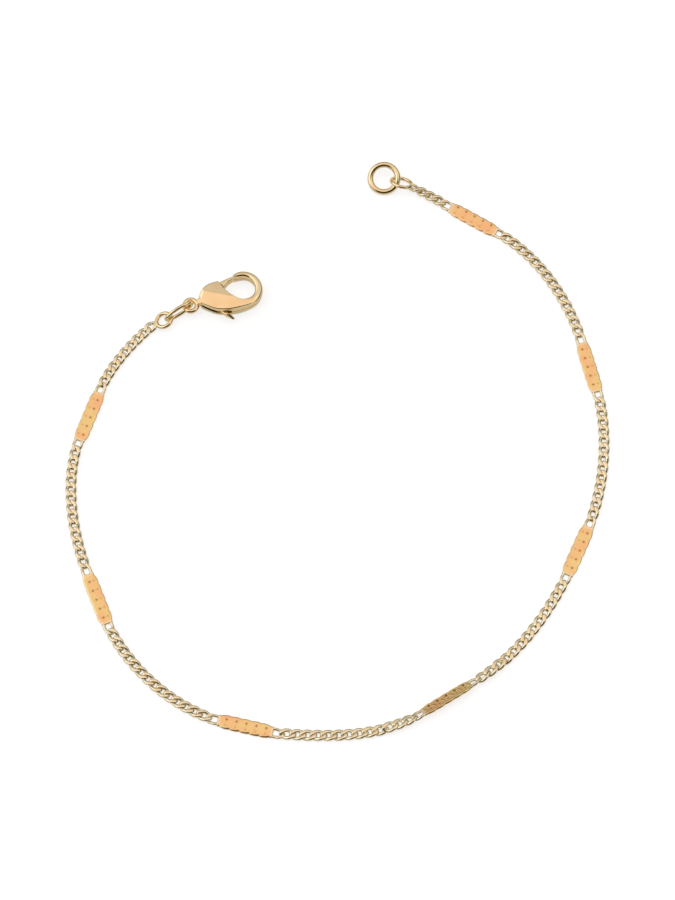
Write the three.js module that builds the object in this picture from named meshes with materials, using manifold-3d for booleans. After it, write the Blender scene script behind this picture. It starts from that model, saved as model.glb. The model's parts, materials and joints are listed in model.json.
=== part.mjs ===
// A fine curb-link bracelet with seven pressed-flat stations and a lobster clasp, lying open on a
// flat surface. Millimetres, +Z up, surface at z = 0, origin at the middle of the bracelet's base.

import * as THREE from "three";
import { ParametricGeometry } from "three/addons/geometries/ParametricGeometry.js";
import { mergeVertices } from "three/addons/utils/BufferGeometryUtils.js";
import Module from "manifold-3d";

const wasm = await Module();
wasm.setup();

// ---- driving dimensions -------------------------------------------------------------------------

// Curb chain, which is built as one flattened tube round the outside of its links.
const CHAIN_WIDTH = 1.2;
const CHAIN_HEIGHT = 0.68;
const CHAIN_STEP = 2.6;

// A station: seven links of the same chain, pressed into one plate with scalloped edges.
const BAR_HOLE_SPACING = 7.45;
const BAR_WIDTH = 1.72;
const BAR_THICKNESS = 0.36;
const BAR_SCALLOPS = 5;
const BAR_SCALLOP_PITCH = 1.15;
const BAR_SCALLOP_DEPTH = 0.12;
const BAR_END_WIDTH = 1.24;
const BAR_END_REACH = 0.5;
const BAR_HOLE_RADIUS = 0.24;

const RUNNING_GAP = 0.3;

// Round rings and oval links: outer sizes and wire.
const END_RING = { length: 4.0, width: 4.0, wire: 0.7, steps: 36, sides: 12 };
const RING_LINK = { length: 2.95, width: 2.6, wire: 0.44, steps: 24, sides: 8 };
const JUMP_RING = { length: 2.35, width: 2.35, wire: 0.48, steps: 24, sides: 8 };
const CLASP_LINK = { length: 4.0, width: 2.0, wire: 0.46, steps: 24, sides: 8 };

// Lobster clasp, in its own frame: u runs from the tail ring to the hook, w to the gate's side, z up.
const CLASP_HEIGHT = 2.2;
const CLASP_MID = CLASP_HEIGHT / 2;
const TAIL_RING = { length: 2.05, width: 2.05, wire: 0.56, steps: 24, sides: 8 };
const SLOT_HEIGHT = 1.2;
const LEVER_HEIGHT = 1.0;
const PIVOT = { u: 2.85, w: 0.55 };
const HUB_RADIUS = 0.72;
const RIVET_RADIUS = 0.28;
const RIVET_HOLE_RADIUS = 0.36;
const RIVET_HEIGHT = 1.7;
const RIVET_HOLE_HEIGHT = 1.82;
const RIVET_SIDES = 16;
const CURVE_SEGMENTS = 5;

// ---- where everything lies ----------------------------------------------------------------------

// Stations in order from the end ring round to the clasp: x and y of the middle, the heading of the
// length (degrees from +X), and how far the plate leans over about its length.
const BARS = [
  { x: 16.33, y: 28.15, heading: -30.9, lean: 0 },
  { x: 29.74, y: 9.08, heading: -75.3, lean: 0 },
  { x: 27.74, y: -13.67, heading: -114.2, lean: 0 },
  { x: 12.38, y: -31.38, heading: -148.3, lean: 40 },
  { x: -10.43, y: -34.53, heading: 167.1, lean: 0 },
  { x: -27.54, y: -19.48, heading: 112.1, lean: 0 },
  { x: -29.13, y: 2.89, heading: 70.1, lean: 0 },
];

// The two ends of the chain, heading along the same way round.
const RING_END = { x: 9.4, y: 32.2, heading: -25 };
const CLASP_END = { x: -22.1, y: 14.75, heading: 39 };

// Chain stretches: how far the chain turns off the heading of the piece before it, and off the
// heading of the piece after it.
const STRETCHES = [
  { leave: 0, arrive: 0 },
  { leave: -2.5, arrive: 0.7 },
  { leave: -3.6, arrive: 4.1 },
  { leave: -3.0, arrive: -0.3 },
  { leave: -2.6, arrive: 8.2 },
  { leave: -6.1, arrive: 5.8 },
  { leave: -1.7, arrive: 5.3 },
  { leave: -3.0, arrive: 0 },
];

// Small rings and links: middle, heading of the length, how far the left-hand side (seen along the
// heading) is raised, and how far the front end is.
const RING_PLACE = { x: 5.61, y: 33.32, z: 0.93, heading: 0, lean: 18, pitch: 6 };
const RING_LINK_PLACE = { x: 7.74, y: 32.72, z: 0.95, heading: -15, lean: -38, pitch: -3 };
const JUMP_RING_PLACE = { x: -20.582, y: 14.943, z: 0.637, heading: 0, lean: -8.0, pitch: 18.5 };
const CLASP_LINK_PLACE = { x: -18.793, y: 15.925, z: 1.039, heading: 31.8, lean: 85.1, pitch: 8.7 };
const CLASP_PLACE = { x: -17.4, y: 16.64, heading: 12.5 };

// ---- finishes -----------------------------------------------------------------------------------

const polishedGold = () =>
  new THREE.MeshStandardMaterial({ color: 0xe8c483, roughness: 0.2, metalness: 1 });
const pressedGold = () =>
  new THREE.MeshStandardMaterial({ color: 0xf0bd7e, roughness: 0.35, metalness: 1 });

// ---- helpers ------------------------------------------------------------------------------------

const radians = THREE.MathUtils.degToRad;
const along = (heading) => new THREE.Vector3(Math.cos(radians(heading)), Math.sin(radians(heading)), 0);

function named(name, geometry, material) {
  const mesh = new THREE.Mesh(geometry, material);
  mesh.name = name;
  return mesh;
}

// Turns a piece about its length, then up or down, then round to its heading, and sets it down.
function placed(mesh, { x, y, z = 0, heading, lean = 0, pitch = 0 }) {
  mesh.rotation.order = "ZYX";
  mesh.rotation.set(radians(lean), radians(-pitch), radians(heading));
  mesh.position.set(x, y, z);
  return mesh;
}

// A closed ring of round wire on an oval centre line that lies flat, its length along x.
function ringGeometry({ length, width, wire, steps, sides }) {
  const a = (length - wire) / 2;
  const b = (width - wire) / 2;
  const r = wire / 2;
  const surface = (u, v, target) => {
    const t = 2 * Math.PI * (u % 1);
    const s = 2 * Math.PI * (v % 1);
    const outX = b * Math.cos(t);
    const outY = a * Math.sin(t);
    const scale = (r * Math.cos(s)) / Math.hypot(outX, outY);
    target.set(a * Math.cos(t) + outX * scale, b * Math.sin(t) + outY * scale, r * Math.sin(s));
  };
  return new ParametricGeometry(surface, steps, sides);
}

// A flat outline made solid, with its middle height at z.
function slab(outline, height, z, chamfer = 0) {
  const geometry = new THREE.ExtrudeGeometry(outline, {
    depth: height - 2 * chamfer,
    curveSegments: CURVE_SEGMENTS,
    bevelEnabled: chamfer > 0,
    bevelSegments: 1,
    bevelThickness: chamfer,
    bevelSize: chamfer,
    bevelOffset: -chamfer,
  });
  return geometry.translate(0, 0, z - height / 2 + chamfer);
}

function solidOf(geometry) {
  const bare = geometry.clone();
  bare.deleteAttribute("normal");
  bare.deleteAttribute("uv");
  const merged = mergeVertices(bare, 1e-5);
  return new wasm.Manifold(
    new wasm.Mesh({
      numProp: 3,
      vertProperties: new Float32Array(merged.attributes.position.array),
      triVerts: new Uint32Array(merged.index.array),
    }),
  );
}

function geometryOf(solid) {
  const mesh = solid.getMesh();
  const geometry = new THREE.BufferGeometry();
  geometry.setAttribute("position", new THREE.BufferAttribute(mesh.vertProperties, 3));
  geometry.setIndex(new THREE.BufferAttribute(mesh.triVerts, 1));
  return geometry;
}

// ---- chain --------------------------------------------------------------------------------------

// Where the chain stops short of one end of a station: the front end with 1, the back end with -1.
function besideBar({ x, y, heading }, end) {
  const reach = end * (BAR_HOLE_SPACING / 2 + BAR_END_REACH + RUNNING_GAP);
  return { point: new THREE.Vector3(x, y, 0).addScaledVector(along(heading), reach), heading };
}

function atEnd({ x, y, heading }) {
  return { point: new THREE.Vector3(x, y, 0), heading };
}

// The centre line between two pieces, which leaves one and meets the other near their own headings.
function stretchCurve(from, to, { leave, arrive }) {
  const handle = from.point.distanceTo(to.point) / 3;
  return new THREE.CubicBezierCurve3(
    from.point,
    from.point.clone().addScaledVector(along(from.heading + leave), handle),
    to.point.clone().addScaledVector(along(to.heading + arrive), -handle),
    to.point,
  );
}

// Eight-sided section, flattened as the links lie. Its first axis is the tube's height.
function chainSection() {
  const section = new THREE.Shape();
  const sides = 8;
  for (let i = 0; i < sides; i += 1) {
    const angle = ((i + 0.5) / sides) * 2 * Math.PI;
    const reach = 1 / Math.cos(Math.PI / sides);
    const high = (CHAIN_HEIGHT / 2) * reach * Math.cos(angle);
    const wide = (CHAIN_WIDTH / 2) * reach * Math.sin(angle);
    if (i === 0) {
      section.moveTo(high, wide);
    } else {
      section.lineTo(high, wide);
    }
  }
  section.closePath();
  return section;
}

function chainTube(curve) {
  const steps = Math.max(2, Math.round(curve.getLength() / CHAIN_STEP));
  const tube = new THREE.ExtrudeGeometry(chainSection(), { steps, extrudePath: curve });
  return tube.translate(0, 0, CHAIN_HEIGHT / 2);
}

function chain() {
  const from = [atEnd(RING_END), ...BARS.map((bar) => besideBar(bar, 1))];
  const to = [...BARS.map((bar) => besideBar(bar, -1)), atEnd(CLASP_END)];
  return STRETCHES.map((turns, i) => {
    const tube = chainTube(stretchCurve(from[i], to[i], turns));
    return named(`chain_${i + 1}`, tube, polishedGold());
  });
}

// ---- stations -----------------------------------------------------------------------------------

// Half of the outline: from the front end's tip back along one side, scallop by scallop.
function barOutline() {
  const outline = new THREE.Shape();
  const scalloped = (BAR_SCALLOPS * BAR_SCALLOP_PITCH) / 2;
  const tip = BAR_HOLE_SPACING / 2 + BAR_END_REACH;
  const valley = BAR_WIDTH / 2 - BAR_SCALLOP_DEPTH;
  outline.moveTo(tip, 0);
  for (const side of [1, -1]) {
    const front = side * tip;
    const shoulder = side * scalloped;
    const edge = side * valley;
    outline.bezierCurveTo(front, side * BAR_END_WIDTH * 0.45, front - side * 0.35, edge * 0.95, shoulder, edge);
    for (let i = 0; i < BAR_SCALLOPS; i += 1) {
      const crest = shoulder - side * BAR_SCALLOP_PITCH * (i + 0.5);
      const next = shoulder - side * BAR_SCALLOP_PITCH * (i + 1);
      outline.quadraticCurveTo(crest, edge + side * 2 * BAR_SCALLOP_DEPTH, next, edge);
    }
    outline.bezierCurveTo(-front + side * 0.35, edge * 0.95, -front, side * BAR_END_WIDTH * 0.45, -front, 0);
  }
  for (const end of [1, -1]) {
    const hole = new THREE.Path();
    hole.absarc((end * BAR_HOLE_SPACING) / 2, 0, BAR_HOLE_RADIUS, 0, 2 * Math.PI, true);
    outline.holes.push(hole);
  }
  return outline;
}

function bars() {
  const outline = barOutline();
  return BARS.map((bar, i) => {
    const plate = slab(outline, BAR_THICKNESS, 0);
    const sideways = Math.abs(Math.sin(radians(bar.lean))) * (BAR_WIDTH / 2);
    const upright = Math.cos(radians(bar.lean)) * (BAR_THICKNESS / 2);
    return placed(named(`bar_${i + 1}`, plate, pressedGold()), { ...bar, z: sideways + upright });
  });
}

// ---- rings and links ----------------------------------------------------------------------------

function rings() {
  return [
    placed(named("end_ring", ringGeometry(END_RING), polishedGold()), RING_PLACE),
    placed(named("ring_link", ringGeometry(RING_LINK), polishedGold()), RING_LINK_PLACE),
    placed(named("jump_ring", ringGeometry(JUMP_RING), polishedGold()), JUMP_RING_PLACE),
    placed(named("clasp_link", ringGeometry(CLASP_LINK), polishedGold()), CLASP_LINK_PLACE),
  ];
}

// ---- clasp --------------------------------------------------------------------------------------

// Seen from above: the tail end, the shoulder on the gate's side, the eye's edge, the hook and back
// along the spine.
function claspOutline() {
  const outline = new THREE.Shape();
  outline.moveTo(1.2, 0.8);
  outline.quadraticCurveTo(1.5, 1.5, 2.35, 1.9);
  outline.quadraticCurveTo(3.0, 2.2, 3.75, 2.12);
  outline.lineTo(4.2, 1.1);
  outline.quadraticCurveTo(4.8, 0.05, 5.5, -0.5);
  outline.absarc(6.45, 0.61, 1.46, radians(-129), radians(88), false);
  outline.lineTo(5.58, 2.14);
  outline.lineTo(5.6, 2.4);
  outline.quadraticCurveTo(5.95, 2.7, 6.55, 2.72);
  outline.absarc(6.5, 0.47, 2.25, radians(86), radians(-58), true);
  outline.quadraticCurveTo(6.6, -1.9, 5.0, -1.9);
  outline.quadraticCurveTo(3.4, -1.85, 2.5, -1.3);
  outline.quadraticCurveTo(1.6, -0.7, 1.2, -0.2);
  outline.closePath();
  return outline;
}

// The side view: full height over the rivet, thinner at the tail and round the hook.
function claspSideView() {
  const half = CLASP_HEIGHT / 2;
  const view = new THREE.Shape();
  view.moveTo(0.8, -0.55);
  view.lineTo(1.7, -half);
  view.lineTo(4.2, -half);
  view.lineTo(9.2, -0.6);
  view.lineTo(9.2, 0.6);
  view.lineTo(4.2, half);
  view.lineTo(1.7, half);
  view.lineTo(0.8, 0.55);
  view.closePath();
  return view;
}

// The end view: a low ridge, sloping to flat sides.
function claspEndView() {
  const half = CLASP_HEIGHT / 2;
  const view = new THREE.Shape();
  view.moveTo(-2.2, -0.72);
  view.lineTo(-0.4, -half);
  view.lineTo(1.0, -half);
  view.lineTo(3.1, -0.6);
  view.lineTo(3.1, 0.6);
  view.lineTo(0.6, half);
  view.lineTo(-2.2, 0.72);
  view.closePath();
  return view;
}

// The space at mid height that the lever turns in, open to the gate's side and through the spine.
function leverSlot() {
  const slot = new THREE.Shape();
  slot.moveTo(1.98, 0.2);
  slot.lineTo(2.0, 1.2);
  slot.lineTo(3.0, 2.7);
  slot.lineTo(4.6, 2.7);
  slot.lineTo(5.2, 1.0);
  slot.lineTo(4.95, -0.3);
  slot.lineTo(4.75, -2.4);
  slot.lineTo(2.55, -2.4);
  slot.lineTo(2.3, -0.9);
  slot.closePath();
  return slot;
}

// Gate, hub and thumb nub in one plate.
function leverOutline() {
  const { u, w } = PIVOT;
  const outline = new THREE.Shape();
  outline.moveTo(4.1, -1.9);
  outline.quadraticCurveTo(3.95, -0.9, u + HUB_RADIUS + 0.1, w - 0.3);
  outline.quadraticCurveTo(3.75, 0.7, 4.3, 1.25);
  outline.quadraticCurveTo(4.85, 1.85, 5.42, 2.02);
  outline.lineTo(5.46, 2.3);
  outline.quadraticCurveTo(4.5, 2.26, 3.75, 2.08);
  outline.quadraticCurveTo(3.1, 1.85, 2.75, w + HUB_RADIUS);
  outline.absarc(u, w, HUB_RADIUS, radians(105), radians(255), false);
  outline.quadraticCurveTo(3.2, -0.9, 3.42, -1.85);
  outline.lineTo(3.75, -2.2);
  outline.lineTo(4.5, -2.85);
  outline.lineTo(4.75, -2.8);
  outline.lineTo(4.6, -2.4);
  outline.closePath();
  return outline;
}

function disc(radius, height, z) {
  const cylinder = new THREE.CylinderGeometry(radius, radius, height, RIVET_SIDES);
  return cylinder.rotateX(Math.PI / 2).translate(PIVOT.u, PIVOT.w, z);
}

function claspBody() {
  const plan = solidOf(slab(claspOutline(), CLASP_HEIGHT, CLASP_MID));
  const wide = 8;
  const sideView = slab(claspSideView(), wide, 0).rotateX(Math.PI / 2).translate(0, 0, CLASP_MID);
  const endView = slab(claspEndView(), 2 * wide, 0)
    .rotateX(Math.PI / 2)
    .rotateZ(Math.PI / 2)
    .translate(wide / 2, 0, CLASP_MID);
  const tail = ringGeometry(TAIL_RING).translate(0, 0, CLASP_MID);
  const neck = new THREE.BoxGeometry(0.75, 0.9, 0.8).translate(1.2, 0.2, CLASP_MID);
  return plan
    .intersect(solidOf(sideView))
    .intersect(solidOf(endView))
    .add(solidOf(tail))
    .add(solidOf(neck))
    .subtract(solidOf(slab(leverSlot(), SLOT_HEIGHT, CLASP_MID)))
    .subtract(solidOf(disc(RIVET_HOLE_RADIUS, RIVET_HOLE_HEIGHT, CLASP_MID)));
}

function claspLever() {
  const plate = solidOf(slab(leverOutline(), LEVER_HEIGHT, CLASP_MID));
  return plate.subtract(solidOf(disc(RIVET_HOLE_RADIUS, CLASP_HEIGHT, CLASP_MID)));
}

function clasp() {
  const group = new THREE.Group();
  group.add(
    named("clasp_body", geometryOf(claspBody()), polishedGold()),
    named("clasp_lever", geometryOf(claspLever()), polishedGold()),
    named("clasp_rivet", disc(RIVET_RADIUS, RIVET_HEIGHT, CLASP_MID), polishedGold()),
  );
  return placed(group, CLASP_PLACE);
}

// ---- the bracelet -------------------------------------------------------------------------------

const bracelet = new THREE.Group();
bracelet.add(...rings(), ...chain(), ...bars(), clasp());

// The origin is the middle of the base.
const extent = new THREE.Box3().setFromObject(bracelet, true);
const middle = extent.getCenter(new THREE.Vector3());
bracelet.position.set(-middle.x, -middle.y, -extent.min.z);

export default bracelet;
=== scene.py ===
"""A fine curb-link bracelet with seven pressed stations and a lobster clasp, lying open on a pale floor."""

from __future__ import annotations

import json
import logging
import math
from collections.abc import Callable, Iterable
from dataclasses import dataclass, field, replace
from enum import Enum

import bpy
import numpy as np
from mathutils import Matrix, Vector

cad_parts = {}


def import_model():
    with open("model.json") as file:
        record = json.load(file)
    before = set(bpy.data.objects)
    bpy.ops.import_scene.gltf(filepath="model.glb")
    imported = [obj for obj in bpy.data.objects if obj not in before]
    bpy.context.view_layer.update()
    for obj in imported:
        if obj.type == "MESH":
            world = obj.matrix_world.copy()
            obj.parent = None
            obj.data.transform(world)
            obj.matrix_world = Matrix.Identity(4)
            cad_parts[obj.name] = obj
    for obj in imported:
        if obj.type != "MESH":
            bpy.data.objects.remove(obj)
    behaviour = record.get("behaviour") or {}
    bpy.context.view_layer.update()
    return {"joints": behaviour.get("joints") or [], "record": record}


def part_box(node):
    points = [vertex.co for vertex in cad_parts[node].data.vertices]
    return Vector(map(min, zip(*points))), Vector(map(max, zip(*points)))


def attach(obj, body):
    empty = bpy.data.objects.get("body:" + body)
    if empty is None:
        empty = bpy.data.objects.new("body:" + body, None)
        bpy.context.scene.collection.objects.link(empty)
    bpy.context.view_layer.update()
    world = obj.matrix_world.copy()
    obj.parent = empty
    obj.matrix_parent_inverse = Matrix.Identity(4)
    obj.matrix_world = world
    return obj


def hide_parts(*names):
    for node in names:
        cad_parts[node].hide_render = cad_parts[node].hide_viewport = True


Array = np.ndarray

LOG = logging.getLogger("bracelet")
MM = 0.001
SEED = 7


def linear(colour: str) -> tuple[float, float, float, float]:
    """Turns an sRGB hex colour into linear light.

    Args:
        colour: six hex digits, with or without a leading hash.

    Returns:
        Red, green, blue and an alpha of 1.
    """
    digits = colour.lstrip("#")
    parts = [int(digits[i : i + 2], 16) / 255 for i in (0, 2, 4)]
    return (*(p / 12.92 if p <= 0.04045 else ((p + 0.055) / 1.055) ** 2.4 for p in parts), 1.0)


def turned(heading: float, lean: float = 0.0, pitch: float = 0.0) -> Array:
    """The turn that lays a piece down: about its length by lean, nose up by pitch, then round to heading.

    Args:
        heading: degrees from +X, anticlockwise seen from above.
        lean: degrees that the left-hand side is raised.
        pitch: degrees that the front end is raised.

    Returns:
        A 3 by 3 rotation matrix.
    """
    roll, nose, round_z = np.radians([lean, -pitch, heading])
    about_x = np.array([[1, 0, 0], [0, np.cos(roll), -np.sin(roll)], [0, np.sin(roll), np.cos(roll)]])
    about_y = np.array([[np.cos(nose), 0, np.sin(nose)], [0, 1, 0], [-np.sin(nose), 0, np.cos(nose)]])
    about_z = np.array([[np.cos(round_z), -np.sin(round_z), 0], [np.sin(round_z), np.cos(round_z), 0], [0, 0, 1]])
    return about_z @ about_y @ about_x


def unit(vectors: Array) -> Array:
    """Each row divided by its own length."""
    return vectors / np.linalg.norm(vectors, axis=-1, keepdims=True)


@dataclass
class Shell:
    """One or more closed surfaces, in millimetres.

    Attributes:
        points: one row of x, y, z for each corner.
        quads: four corner numbers for each face.
        caps: faces of any number of corners, which close the ends of a swept surface.
    """

    points: Array
    quads: Array
    caps: list[list[int]] = field(default_factory=list)

    @classmethod
    def ring(cls, grid: Array) -> Shell:
        """A surface that closes on itself both ways, from a grid of points.

        Args:
            grid: rows along the piece, columns round its section, then x, y, z.

        Returns:
            The closed shell.
        """
        rows, columns = grid.shape[:2]
        index = np.arange(rows * columns).reshape(rows, columns)
        along, round_it = np.roll(index, -1, 0), np.roll(index, -1, 1)
        both = np.roll(along, -1, 1)
        quads = np.stack([index, along, both, round_it], -1).reshape(-1, 4)
        return cls(grid.reshape(-1, 3), quads).outward()

    @classmethod
    def rod(cls, grid: Array) -> Shell:
        """A surface closed round its section only, with a flat face over each end.

        Args:
            grid: rows along the piece, columns round its section, then x, y, z.

        Returns:
            The closed shell.
        """
        rows, columns = grid.shape[:2]
        index = np.arange(rows * columns).reshape(rows, columns)
        round_it = np.roll(index, -1, 1)
        quads = np.stack([index[:-1], index[1:], round_it[1:], round_it[:-1]], -1).reshape(-1, 4)
        caps = [index[0].tolist(), index[-1][::-1].tolist()]
        return cls(grid.reshape(-1, 3), quads, caps).outward()

    @classmethod
    def joined(cls, shells: Iterable[Shell]) -> Shell:
        """Several shells as one.

        Args:
            shells: the shells, each left as it is.

        Returns:
            One shell that holds them all.
        """
        listed = list(shells)
        starts = np.cumsum([0] + [len(s.points) for s in listed[:-1]])
        quads = [s.quads + start for s, start in zip(listed, starts)]
        caps = [[i + int(start) for i in cap] for s, start in zip(listed, starts) for cap in s.caps]
        return cls(np.concatenate([s.points for s in listed]), np.concatenate(quads), caps)

    def outward(self) -> Shell:
        """The same shell with its faces turned outward: the signed volume under its quads is positive.

        Returns:
            This shell, or one with every face turned over.
        """
        a, b, c, d = (self.points[self.quads[:, i]] - self.points.mean(0) for i in range(4))
        volume = (np.cross(a, b) * c).sum() + (np.cross(a, c) * d).sum()
        if volume >= 0:
            return self
        return Shell(self.points, self.quads[:, ::-1], [cap[::-1] for cap in self.caps])

    def laid(self, turn: Array, place: Array) -> Shell:
        """The shell turned and set down.

        Args:
            turn: a 3 by 3 rotation matrix.
            place: where its own origin goes, in millimetres.

        Returns:
            The moved shell.
        """
        return Shell(self.points @ turn.T + np.asarray(place), self.quads, self.caps)

    def to_object(self, name: str) -> bpy.types.Object:
        """Makes the shell a smooth-shaded mesh object, in metres.

        Args:
            name: the object's name.

        Returns:
            The object, linked to the scene.
        """
        mesh = bpy.data.meshes.new(name)
        faces = self.quads.tolist() + self.caps
        mesh.from_pydata((self.points * MM).tolist(), [], faces)
        mesh.polygons.foreach_set("use_smooth", np.ones(len(faces), dtype=bool))
        mesh.update()
        made = bpy.data.objects.new(name, mesh)
        bpy.context.scene.collection.objects.link(made)
        return made


def wire_round(centre: Array, across: Array, radius: float, sides: int) -> Array:
    """Wire carried round a closed centre line.

    The section's first axis is square to the line and to across; its second is across made square to the line.
    A point is centre + r * cos(s) * first + r * sin(s) * second.

    Args:
        centre: points of the closed line.
        across: for each point, the direction that the section's second axis leans to.
        radius: the wire's radius.
        sides: points round the section.

    Returns:
        A grid of points, rows along the line and columns round the section.
    """
    tangent = unit(np.roll(centre, -1, 0) - np.roll(centre, 1, 0))
    second = unit(across - (across * tangent).sum(1, keepdims=True) * tangent)
    first = np.cross(tangent, second)
    s = np.linspace(0, 2 * np.pi, sides, endpoint=False)
    x, y = (radius * wave[None, :, None] for wave in (np.cos(s), np.sin(s)))
    return centre[:, None] + x * first[:, None] + y * second[:, None]


def squared(wave: Array, power: float) -> Array:
    """A sine or cosine with its size raised to a power and its sign kept."""
    return np.sign(wave) * np.abs(wave) ** power


class Side(Enum):
    """The two ends of a station, as steps along its heading."""

    BACK = -1
    FRONT = 1


class Finish(Enum):
    """The record's material slots."""

    POLISHED = "polished_gold"
    PRESSED = "pressed_gold"


@dataclass(frozen=True)
class GoldPlate:
    """Gold-plated brass: a mirror-like metal whose tint drifts in soft patches, never quite flat or evenly polished.

    Attributes:
        name: the material's name.
        colour: the metal's tint, as sRGB hex.
        warm: the tint in its redder patches, as sRGB hex.
        roughness: how far the polish scatters a reflection.
        spread: how much the roughness varies over the piece.
        dent: depth of the soft unevenness that rolling and handling leave, in millimetres.
        grain: size of that unevenness, in millimetres.
        patch: size of the patches of tint, in millimetres.
        rub: size of the patches of polish, in millimetres; finer ones wouldn't show.
        wire: the tint where a pressed piece is left as drawn wire; its pressed attribute marks the rest.
        recess: painted shade, a darker tint in the slits; the piece's recess attribute places it.
    """

    name: str
    colour: str
    warm: str
    roughness: float
    spread: float
    dent: float
    grain: float
    patch: float = 2.2
    rub: float = 0.5
    wire: str | None = None
    recess: str | None = None

    def material(self) -> bpy.types.Material:
        """Builds the metal: a tint that drifts in soft patches, an uneven polish and the dents that rolling leaves.

        Returns:
            The node material.
        """
        made = bpy.data.materials.new(self.name)
        made.use_nodes = True
        tree = made.node_tree
        tree.nodes.clear()
        place = add_node(tree, "ShaderNodeTexCoord")
        patches, polish, rolled = (
            add_node(
                tree,
                "ShaderNodeTexNoise",
                {"Scale": 1 / (size * MM), "Detail": detail, "Roughness": fineness},
                {"Vector": (place, "Object")},
            )
            for size, detail, fineness in ((self.patch, 3.0, 0.5), (self.rub, 4.0, 0.6), (self.grain, 2.0, 0.5))
        )
        drift = add_node(tree, "ShaderNodeMapRange", {"From Min": 0.36, "From Max": 0.64}, {"Value": (patches, 0)})
        both = {6: linear(self.colour), 7: linear(self.warm)}
        tint = add_node(tree, "ShaderNodeMix", both, {0: (drift, 0)}, data_type="RGBA")
        # The second pass paints shade into the slits: the darker tint goes where the piece's slit mask is high.
        for attribute, colour, own, other in (("pressed", self.wire, 6, 7), ("recess", self.recess, 7, 6)):
            if colour:
                mask = add_node(tree, "ShaderNodeAttribute", attribute_name=attribute)
                links = {0: (mask, "Fac"), other: (tint, 2)}
                tint = add_node(tree, "ShaderNodeMix", {own: linear(colour)}, links, data_type="RGBA")
        ends = {"To Min": self.roughness - self.spread, "To Max": self.roughness + self.spread}
        rough = add_node(
            tree, "ShaderNodeMapRange", {"From Min": 0.3, "From Max": 0.7, **ends}, {"Value": (polish, 0)}
        )
        depth = {"Strength": 1.0, "Distance": self.dent * MM}
        uneven = add_node(tree, "ShaderNodeBump", depth, {"Height": (rolled, 0)})
        metal = add_node(
            tree,
            "ShaderNodeBsdfPrincipled",
            {"Metallic": 1.0},
            {"Base Color": (tint, 2), "Roughness": (rough, 0), "Normal": (uneven, 0)},
        )
        add_node(tree, "ShaderNodeOutputMaterial", {}, {"Surface": (metal, 0)})
        return made


def add_node(
    tree: bpy.types.NodeTree,
    kind: str,
    values: dict[str | int, object] | None = None,
    links: dict[str | int, tuple[bpy.types.Node, str | int]] | None = None,
    **settings: object,
) -> bpy.types.Node:
    """Adds one node, sets it and links it.

    Args:
        tree: the node tree.
        kind: the node's type.
        values: input name or number to value.
        links: input name or number to the node and output that feed it.
        settings: the node's own properties.

    Returns:
        The node.
    """
    node = tree.nodes.new(kind)
    for key, value in settings.items():
        setattr(node, key, value)
    for key, value in (values or {}).items():
        node.inputs[key].default_value = value
    for key, (source, output) in (links or {}).items():
        tree.links.new(source.outputs[output], node.inputs[key])
    return node


def dress(piece: bpy.types.Object, material: bpy.types.Material, body: str, node: str) -> None:
    """Gives a piece its metal, the body it rides on and the CAD node it stands for.

    Args:
        piece: the finished object.
        material: its metal.
        body: the CAD body that it moves with.
        node: the CAD node that it replaces.
    """
    piece.data.materials.clear()
    piece.data.materials.append(material)
    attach(piece, body)
    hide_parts(node)


def mark(made: bpy.types.Object, name: str, values: Array) -> None:
    """Writes a number for each point of a piece, for its material to read.

    Args:
        made: the piece.
        name: the attribute's name.
        values: one number for each point.
    """
    attribute = made.data.attributes.new(name, "FLOAT", "POINT")
    attribute.data.foreach_set("value", values.astype(np.float32))


def run_of(points: Array) -> Array:
    """The distance along a line of points to each of them."""
    return np.concatenate([[0], np.cumsum(np.linalg.norm(np.diff(points, axis=0), axis=1))])


def middle_of(node: str) -> Array:
    """The middle of a CAD node's box, in millimetres."""
    low, high = (np.array(corner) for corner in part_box(node))
    return (low + high) / 2 / MM


@dataclass(frozen=True)
class CurbLink:
    """One link of curb chain: an oval of round wire, twisted so that it lies flat among its neighbours.

    Attributes:
        wire: the wire's diameter.
        width: over all, across the chain.
        twists: how far the back and the front end are turned about the link's length, in degrees.
        flat: thickness that the planished faces are brought down to.
        square: the power that squares the oval where it is below 1.
        steps: points along the wire.
        sides: points round the wire.
    """

    wire: float = 0.44
    width: float = 1.34
    twists: tuple[float, float] = (-45.0, -45.0)
    flat: float = 0.6
    square: float = 1.0
    steps: int = 44
    sides: int = 12

    def shell(self, inside: float) -> Shell:
        """The link about its own middle, its length along x.

        The centre line is an oval: x = a cos t and y = b sin t, with each cosine and sine raised to the squaring
        power, turned about x by twist * x / a. The faces are then pressed: heights past the flat are brought down by
        a soft limit.

        Args:
            inside: the link's inside length, which is the distance between neighbouring links of a pulled chain.

        Returns:
            The closed shell.
        """
        back, front = self.twists
        a, b = (inside + self.wire) / 2, (self.width - self.wire) / 2
        t = np.linspace(0, 2 * np.pi, self.steps, endpoint=False)
        x = a * squared(np.cos(t), self.square)
        turn = np.radians(np.where(x > 0, front, back)) * x / a
        y = b * squared(np.sin(t), self.square)
        centre = np.stack([x, y * np.cos(turn), y * np.sin(turn)], -1)
        across = np.stack([0 * t, -np.sin(turn), np.cos(turn)], -1)
        grid = wire_round(centre, across, self.wire / 2, self.sides)
        grid[..., 2] = soft_limit(grid[..., 2], self.flat / 2)
        return Shell.ring(grid)


def soft_limit(height: Array, limit: float) -> Array:
    """Brings heights down to a limit with a rounded shoulder: h / (1 + |h / limit| ** 6) ** (1 / 6)."""
    return height / (1 + np.abs(height / limit) ** 6) ** (1 / 6)


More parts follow.
